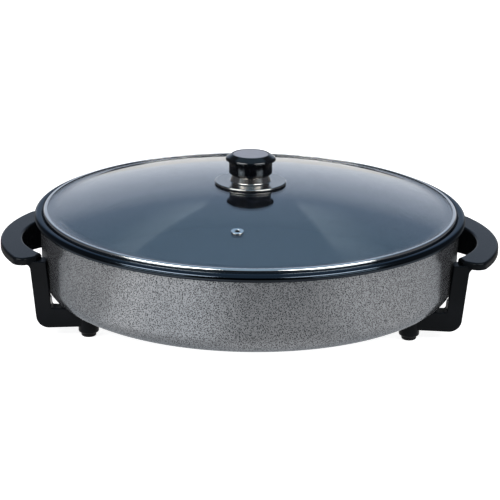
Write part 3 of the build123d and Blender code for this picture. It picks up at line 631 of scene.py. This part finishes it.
nut_recipe, given = new_recipe("bevelled_nut", nut_sizes)
tree = nut_recipe
wide = calculate(tree, "SUBTRACT", given["Corner radius"], given["Bore radius"])
both_radii = calculate(tree, "ADD", given["Corner radius"], given["Bore radius"])
middle = calculate(tree, "DIVIDE", both_radii, 2.0)
strip = add_node(tree, "GeometryNodeCurvePrimitiveQuadrilateral", Width=wide, Height=given["Height"])
bevelled = add_node(tree, "GeometryNodeFilletCurve", Curve=strip.outputs["Curve"], Radius=given["Bevel"])
round_path = add_node(tree, "GeometryNodeCurvePrimitiveCircle", Resolution=nut_steps, Radius=middle)
ring = add_node(tree, "GeometryNodeCurveToMesh", Curve=round_path.outputs["Curve"])
fill_socket(tree, ring.inputs["Profile Curve"], bevelled.outputs["Curve"])
where = add_node(tree, "GeometryNodeInputPosition")
split = add_node(tree, "ShaderNodeSeparateXYZ", Vector=where.outputs["Position"])
angle = calculate(tree, "ARCTAN2", split.outputs["Y"], split.outputs["X"])
past_corner = calculate(tree, "FLOORED_MODULO", angle, sixth)
from_flat = calculate(tree, "SUBTRACT", past_corner, sixth / 2)
hexagon = calculate(tree, "DIVIDE", given["Flat radius"], calculate(tree, "COSINE", from_flat))
share = calculate(tree, "DIVIDE", hexagon, flat_length(tree, split))
inside_share = calculate(tree, "MINIMUM", share, 1.0)
half_height = calculate(tree, "DIVIDE", given["Height"], 2.0)
pulled = add_node(
    tree,
    "ShaderNodeCombineXYZ",
    X=product(tree, split.outputs["X"], inside_share),
    Y=product(tree, split.outputs["Y"], inside_share),
    Z=calculate(tree, "ADD", split.outputs["Z"], half_height),
)
hex_ring = add_node(tree, "GeometryNodeSetPosition", Geometry=ring.outputs["Mesh"])
fill_socket(tree, hex_ring.inputs["Position"], pulled.outputs["Vector"])
end_recipe(tree, given, hex_ring.outputs["Geometry"])

for set_name in ("saddle_nuts", "cover_nuts", "box_nuts"):
    places = solid_centres(set_name, nut_reach)
    low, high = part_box(set_name)
    nut_values = {
        "Flat radius": 3.5 * MM,
        "Corner radius": 4.0 * MM,
        "Bore radius": 2.1 * MM,
        "Height": high.z - low.z,
        "Bevel": 0.35 * MM,
    }
    nuts = make_pieces("bevelled_" + set_name, nut_recipe, places, nut_values, zinc_plate)
    stand_for(nuts, "pan", "zinc_steel", set_name)

# %% [markdown]
# ## Turned pieces
# The pan and the band are round, and their polished edges mirror the room. The facets of
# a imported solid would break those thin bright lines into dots, so both are made again as
# a section turned round the axis in many small steps, with the bends of the real piece.

# %% Helpers for turned pieces
SAME_POINT = 0.001 * MM


def rounded_section(corners, steps=10):
    """Points of a closed outline in (radius, level), with an arc at each corner that has a bend."""
    points = []
    for number, (radius, level, bend) in enumerate(corners):
        corner = Vector((radius, level))
        if bend == 0:
            points.append(corner)
            continue
        following = corners[(number + 1) % len(corners)]
        back = (Vector(corners[number - 1][:2]) - corner).normalized()
        ahead = (Vector(following[:2]) - corner).normalized()
        half_angle = back.angle(ahead) / 2
        centre = corner + (back + ahead).normalized() * bend / math.sin(half_angle)
        run = bend / math.tan(half_angle)
        for step in range(steps + 1):
            chord = (corner + run * back).lerp(corner + run * ahead, step / steps)
            points.append(centre + bend * (chord - centre).normalized())
    return points


def turned_piece(name, section, material, around=288):
    """A round piece with the given section, turned round the upright axis."""
    vertices = []
    for turn in range(around):
        angle = 2 * math.pi * turn / around
        vertices += [(point.x * math.cos(angle), point.x * math.sin(angle), point.y) for point in section]
    count = len(section)
    faces = []
    for turn in range(around):
        start, end = turn * count, (turn + 1) % around * count
        for first in range(count):
            second = (first + 1) % count
            faces.append((start + first, end + first, end + second, start + second))
    mesh = bpy.data.meshes.new(name)
    mesh.from_pydata(vertices, [], faces)
    cleaned = bmesh.new()
    cleaned.from_mesh(mesh)
    bmesh.ops.remove_doubles(cleaned, verts=cleaned.verts, dist=SAME_POINT)
    bmesh.ops.recalc_face_normals(cleaned, faces=cleaned.faces)
    cleaned.to_mesh(mesh)
    cleaned.free()
    mesh.materials.append(material)
    mesh.shade_smooth()
    mesh.set_sharp_from_angle(angle=SHARP_ANGLE)
    piece = bpy.data.objects.new(name, mesh)
    scene.collection.objects.link(piece)
    print(name, "has", len(mesh.polygons), "faces")
    return piece


# %% [markdown]
# The casting of the pan: a flat base, a wide corner, an almost upright wall, and a rim
# that overhangs the wall and carries a cone inside, on which the lid sits. The rim stays
# a little below the top of the solid, because the photograph hides its far side behind
# the lid's band.

# %% Cast pan
rim_height = 8.7 * MM
rim_drop = 1.5 * MM
rim_overhang = 5.5 * MM
lip_width = 5.0 * MM
wall_sheet = 4.5 * MM
wall_lean = 1.7 * MM
floor_sheet = 3.2 * MM
corner_bend = 21 * MM
under_bend = 3.2 * MM
edge_bend = 3.9 * MM
small_bend = 1.0 * MM

pan_radius = pan_high.x
rim_top = pan_high.z - rim_drop
rim_low = pan_high.z - rim_height
wall_top = pan_radius - rim_overhang
wall_foot = wall_top - wall_lean
lip_radius = pan_radius - lip_width - rim_drop
seat_radius = wall_top - wall_sheet
seat_level = rim_top - lip_radius + seat_radius
pan_floor = pan_low.z + floor_sheet
pan_section = rounded_section([
    (0, pan_low.z, 0),
    (wall_foot, pan_low.z, corner_bend),
    (wall_top, rim_low, small_bend),
    (pan_radius, rim_low, under_bend),
    (pan_radius, rim_top, edge_bend),
    (lip_radius, rim_top, small_bend),
    (seat_radius, seat_level, 0),
    (wall_foot - wall_sheet, pan_floor, corner_bend - wall_sheet),
    (0, pan_floor, 0),
])
pan = turned_piece("cast_pan", pan_section, pan_finish)
stand_for(pan, "pan", "pan_finish", "pan_body")

# %% [markdown]
# The band is a strip of steel rolled over the edge of the glass, so its section is a
# narrow C with soft bends. It keeps inside the box of the solid it stands for.

# %% Rolled band
band_low, band_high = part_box("lid_band")
band_width = 3.7 * MM
band_sheet = 0.7 * MM
top_bend = 2.2 * MM
low_bend = 1.0 * MM
edge_round = 0.3 * MM

band_outer = band_high.x
band_inner = band_outer - band_width
band_section = rounded_section([
    (band_inner, band_low.z, edge_round),
    (band_outer, band_low.z, low_bend),
    (band_outer, band_high.z, top_bend),
    (band_inner, band_high.z, edge_round),
    (band_inner, band_high.z - band_sheet, 0),
    (band_outer - band_sheet, band_high.z - band_sheet, top_bend - band_sheet),
    (band_outer - band_sheet, band_low.z + band_sheet, low_bend - band_sheet),
    (band_inner, band_low.z + band_sheet, 0),
])
band = turned_piece("rolled_band", band_section, polished_steel)
stand_for(band, "lid", "steel", "lid_band")

# %% [markdown]
# ## The studio
# The photograph shows white all round, but polished things in it mirror a darker room:
# a pale sweep that turns blue overhead behind the object, two faint streaks in it, pools
# of light on the floor, and panels of light on both sides of the camera. So camera rays
# see white, mirrored rays see that room, and the lamps light the object plainly.

# %% Helpers for the studio
LEAST_REACH = 0.02


def mirror_rays(tree):
    """The Light Path outputs, and a value that is 1 for rays from a mirror or through glass."""
    rays = add_node(tree, "ShaderNodeLightPath").outputs
    return rays, calculate(tree, "MAXIMUM", rays["Is Glossy Ray"], rays["Is Transmission Ray"])


def lean(tree, across, along):
    """How far a direction leans to either side: its reach across over its reach along."""
    sideways = calculate(tree, "ABSOLUTE", across)
    return calculate(tree, "DIVIDE", sideways, calculate(tree, "MAXIMUM", along, LEAST_REACH))


def between(tree, value, start, full, fading, gone, smooth=False):
    """A value that rises from 0 to 1 and later falls back to 0."""
    rising = remap(tree, value, start, full, 0, 1, smooth)
    return product(tree, rising, remap(tree, value, fading, gone, 1, 0, smooth))


# %% [markdown]
# The floor is one flat sheet that only belongs to the stage, so it isn't part of the
# model. It lies where the feet stand.

# %% Floor
floor_reach = 6.0
floor_mesh = bpy.data.meshes.new("studio_floor")
floor_corners = [(-1, -1), (1, -1), (1, 1), (-1, 1)]
floor_points = [(floor_reach * x, floor_reach * y, 0) for x, y in floor_corners]
floor_mesh.from_pydata(floor_points, [], [(0, 1, 2, 3)])
floor = bpy.data.objects.new("studio_floor", floor_mesh)
scene.collection.objects.link(floor)
print("floor", 2 * floor_reach, "m wide")

# %% [markdown]
# In mirrors the floor carries painted light: pools round the front of the pan, an even
# glow close to it, dusk further out, and the sweep behind. Lamps could make such pools,
# but they would also light the object, which the photograph shows lit evenly.

# %% Light on the floor, as mirrors see it
pools_turn = math.radians(120)
pools_light = 1.28
pool_tones = [
    (0.04, 0.14),
    (0.14, 0.55),
    (0.25, 0.58),
    (0.29, 1.0),
    (0.42, 0.97),
    (0.49, 0.44),
    (0.60, 0.42),
    (0.67, 0.70),
    (0.86, 0.62),
    (0.96, 0.14),
]
near_light = 0.80
near_radii = (0.205, 0.27)
pools_end = (0.47, 0.55)
far_turns = (math.radians(75), math.radians(100))
far_tones = (0.02, 0.2)
sweep_light = 0.77
sweep_leans = (0.24, 0.42)
sweep_start = (0.0, 0.1)

floor_finish = bpy.data.materials.new("pale_floor")
floor_finish.use_nodes = True
tree = floor_finish.node_tree
tree.nodes.remove(tree.nodes["Principled BSDF"])
coordinates = add_node(tree, "ShaderNodeTexCoord")
split = add_node(tree, "ShaderNodeSeparateXYZ", Vector=coordinates.outputs["Object"])
across, backward = split.outputs["X"], split.outputs["Y"]
forward = product(tree, backward, -1.0)
away = flat_length(tree, split)
turned = calculate(tree, "ARCTAN2", across, forward)
round_front = remap(tree, turned, -pools_turn, pools_turn, 0, 1)
pools = colour_ramp(tree, round_front, [(place, (tone,) * 3) for place, tone in pool_tones])
near_pan = remap(tree, away, *near_radii, 1, 0, smooth=True)
pool_light = pick(tree, near_pan, product(tree, pools, pools_light), near_light)
from_front = calculate(tree, "ABSOLUTE", turned)
far_tone = remap(tree, from_front, *far_turns, *far_tones)
past_pools = remap(tree, away, *pools_end, 0, 1, smooth=True)
front_floor = pick(tree, past_pools, pool_light, far_tone)
in_sweep = remap(tree, lean(tree, across, backward), *sweep_leans, sweep_light, 0, smooth=True)
sweep = product(tree, in_sweep, remap(tree, backward, *sweep_start, 0, 1))
mirrored_floor = calculate(tree, "MAXIMUM", front_floor, sweep)
print("floor light has", len(pool_tones), "tones round the front")

# %% [markdown]
# A glow lifts the matt floor to white for the camera only, so shadows stay soft on it.
# From below the floor is clear, and the underside can be looked at.

# %% Finish of the floor
camera_glow = 0.85
matt = add_node(tree, "ShaderNodeBsdfDiffuse", Color=(0.72, 0.72, 0.72, 1))
rays, in_mirrors = mirror_rays(tree)
glow = add_node(tree, "ShaderNodeEmission", Strength=product(tree, rays["Is Camera Ray"], camera_glow))
lit = add_node(tree, "ShaderNodeAddShader")
fill_socket(tree, lit.inputs[0], matt.outputs["BSDF"])
fill_socket(tree, lit.inputs[1], glow.outputs["Emission"])
mirror_glow = add_node(tree, "ShaderNodeEmission", Strength=mirrored_floor)
seen_floor = mix_shaders(tree, in_mirrors, lit.outputs["Shader"], mirror_glow.outputs["Emission"])
faces = add_node(tree, "ShaderNodeNewGeometry")
see_through = add_node(tree, "ShaderNodeBsdfTransparent")
from_below = mix_shaders(tree, faces.outputs["Backfacing"], seen_floor, see_through.outputs["BSDF"])
fill_socket(tree, tree.nodes["Material Output"].inputs["Surface"], from_below)
floor_mesh.materials.append(floor_finish)
print(floor_finish.name, "on", floor.name)

# %% [markdown]
# The room is painted on the world by direction. Behind the object stands the sweep, pale
# at the floor and blue above, with a faint streak to the left and right whose inner edges
# spread as they rise. The lid mirrors all of it.

# %% Room behind the object
room_tones = [
    (0.0, (0.75, 0.80, 0.88)),
    (0.10, (0.70, 0.77, 0.89)),
    (0.30, (0.53, 0.63, 0.79)),
    (0.40, (0.32, 0.44, 0.62)),
    (0.55, (0.32, 0.49, 0.70)),
    (0.72, (0.45, 0.70, 1.0)),
]
streak_tone = (0.17, 0.20, 0.21)
streak_heights = (0.38, 0.46, 0.60, 0.66)
streak_soft = 0.03
streak_end = 0.2
edge_heights = (0.44, 0.64)
left_leans = (0.11, 0.29)
right_leans = (0.16, 0.22)
back_leans = (0.36, 0.62)
back_start = (0.0, 0.05)

world = bpy.data.worlds.new("studio_room")
scene.world = world
world.use_nodes = True
tree = world.node_tree
coordinates = add_node(tree, "ShaderNodeTexCoord")
split = add_node(tree, "ShaderNodeSeparateXYZ", Vector=coordinates.outputs["Generated"])
across, backward, height = split.outputs["X"], split.outputs["Y"], split.outputs["Z"]
forward = product(tree, backward, -1.0)
room = colour_ramp(tree, height, room_tones)
left_edge = remap(tree, height, *edge_heights, *left_leans)
right_edge = remap(tree, height, *edge_heights, *right_leans)
at_right = calculate(tree, "GREATER_THAN", across, 0.0)
streak_edge = pick(tree, at_right, left_edge, right_edge)
past_edge = calculate(tree, "SUBTRACT", lean(tree, across, height), streak_edge)
streak = product(
    tree,
    remap(tree, past_edge, 0.0, streak_soft, 0, 1, smooth=True),
    remap(tree, past_edge, streak_soft, streak_end, 1, 0),
    between(tree, height, *streak_heights, smooth=True),
)
streaked = mix_colour(tree, streak, room, streak_tone, blend="ADD")
in_sweep = remap(tree, lean(tree, across, backward), *back_leans, 1, 0, smooth=True)
at_back = product(tree, in_sweep, remap(tree, backward, *back_start, 0, 1))
print("room has", len(room_tones), "tones by height")

# %% [markdown]
# Away from the sweep the room is dark, and a little less so at the sides. Low panels
# beside the camera give the knob its upright stripes, high ones draw the bright lines on
# the band and the rim, and a dim sky closes the room overhead.

# %% Panels and sky
front_dark = (0.012, 0.014, 0.018)
side_dark = (0.09, 0.10, 0.12)
side_leans = (0.6, 1.6)
front_start = (-0.05, 0.0)
sky_tone = (0.30, 0.45, 0.60)
sky_behind = (0.74, 0.86)
sky_in_front = (0.44, 0.66)
panel_leans = (0.58, 0.68, 2.2, 2.6)
low_panel_light = (2.5, 2.9, 3.2)
low_panel_top = (0.18, 0.24)
high_panel_light = (5, 5, 5)
high_panel_heights = (0.56, 0.60, 0.70, 0.74)

front_lean = lean(tree, across, forward)
at_sides = remap(tree, front_lean, *side_leans, 0, 1, smooth=True)
dark_room = mix_colour(tree, at_sides, front_dark, side_dark)
studio = mix_colour(tree, at_back, dark_room, streaked)
in_front = remap(tree, backward, *front_start, 1, 0)
sky_limits = [pick(tree, in_front, behind, ahead) for behind, ahead in zip(sky_behind, sky_in_front)]
overhead = remap(tree, height, *sky_limits, 0, 1, smooth=True)
studio = mix_colour(tree, overhead, studio, sky_tone)
beside_camera = product(tree, in_front, between(tree, front_lean, *panel_leans))
low_panels = product(tree, beside_camera, remap(tree, height, *low_panel_top, 1, 0))
studio = mix_colour(tree, low_panels, studio, low_panel_light)
high_panels = product(tree, beside_camera, between(tree, height, *high_panel_heights))
studio = mix_colour(tree, high_panels, studio, high_panel_light)
print("panels and sky painted")

# %% [markdown]
# Camera rays see white and mirrored rays see the room. All other rays meet an even grey,
# which fills the shadows and keeps pale finishes from clipping.

# %% World
plain_light = (0.42, 0.43, 0.45)
rays, in_mirrors = mirror_rays(tree)
plain_or_studio = mix_colour(tree, in_mirrors, plain_light, studio)
seen_colour = mix_colour(tree, rays["Is Camera Ray"], plain_or_studio, (1, 1, 1))
backdrop = tree.nodes["Background"]
fill_socket(tree, backdrop.inputs["Color"], seen_colour)
backdrop.inputs["Strength"].default_value = 1.0
print(world.name, "set")

# %% [markdown]
# Two wide softboxes stand in front, left and right, and look down at the lid. The left
# one is a little stronger, as in the photograph.

# %% Softboxes
lid_height = 0.1


def softbox(name, azimuth, elevation, distance, wide, tall, power):
    """A soft rectangular lamp that looks at the lid, placed by angles seen from there."""
    data = bpy.data.lights.new(name, "AREA")
    data.shape = "RECTANGLE"
    data.size = wide
    data.size_y = tall
    data.energy = power
    lamp = bpy.data.objects.new(name, data)
    scene.collection.objects.link(lamp)
    back = direction(math.radians(azimuth), math.radians(elevation))
    lamp.location = Vector((0, 0, lid_height)) + distance * back
    lamp.rotation_mode = "QUATERNION"
    lamp.rotation_quaternion = (-back).to_track_quat("-Z", "Y")
    lamp.visible_camera = False
    print(name, "at", [round(side, 2) for side in lamp.location])


softbox("softbox_left", azimuth=-46, elevation=37, distance=2.0, wide=1.6, tall=0.5, power=25)
softbox("softbox_right", azimuth=46, elevation=37, distance=2.0, wide=1.6, tall=0.5, power=20)
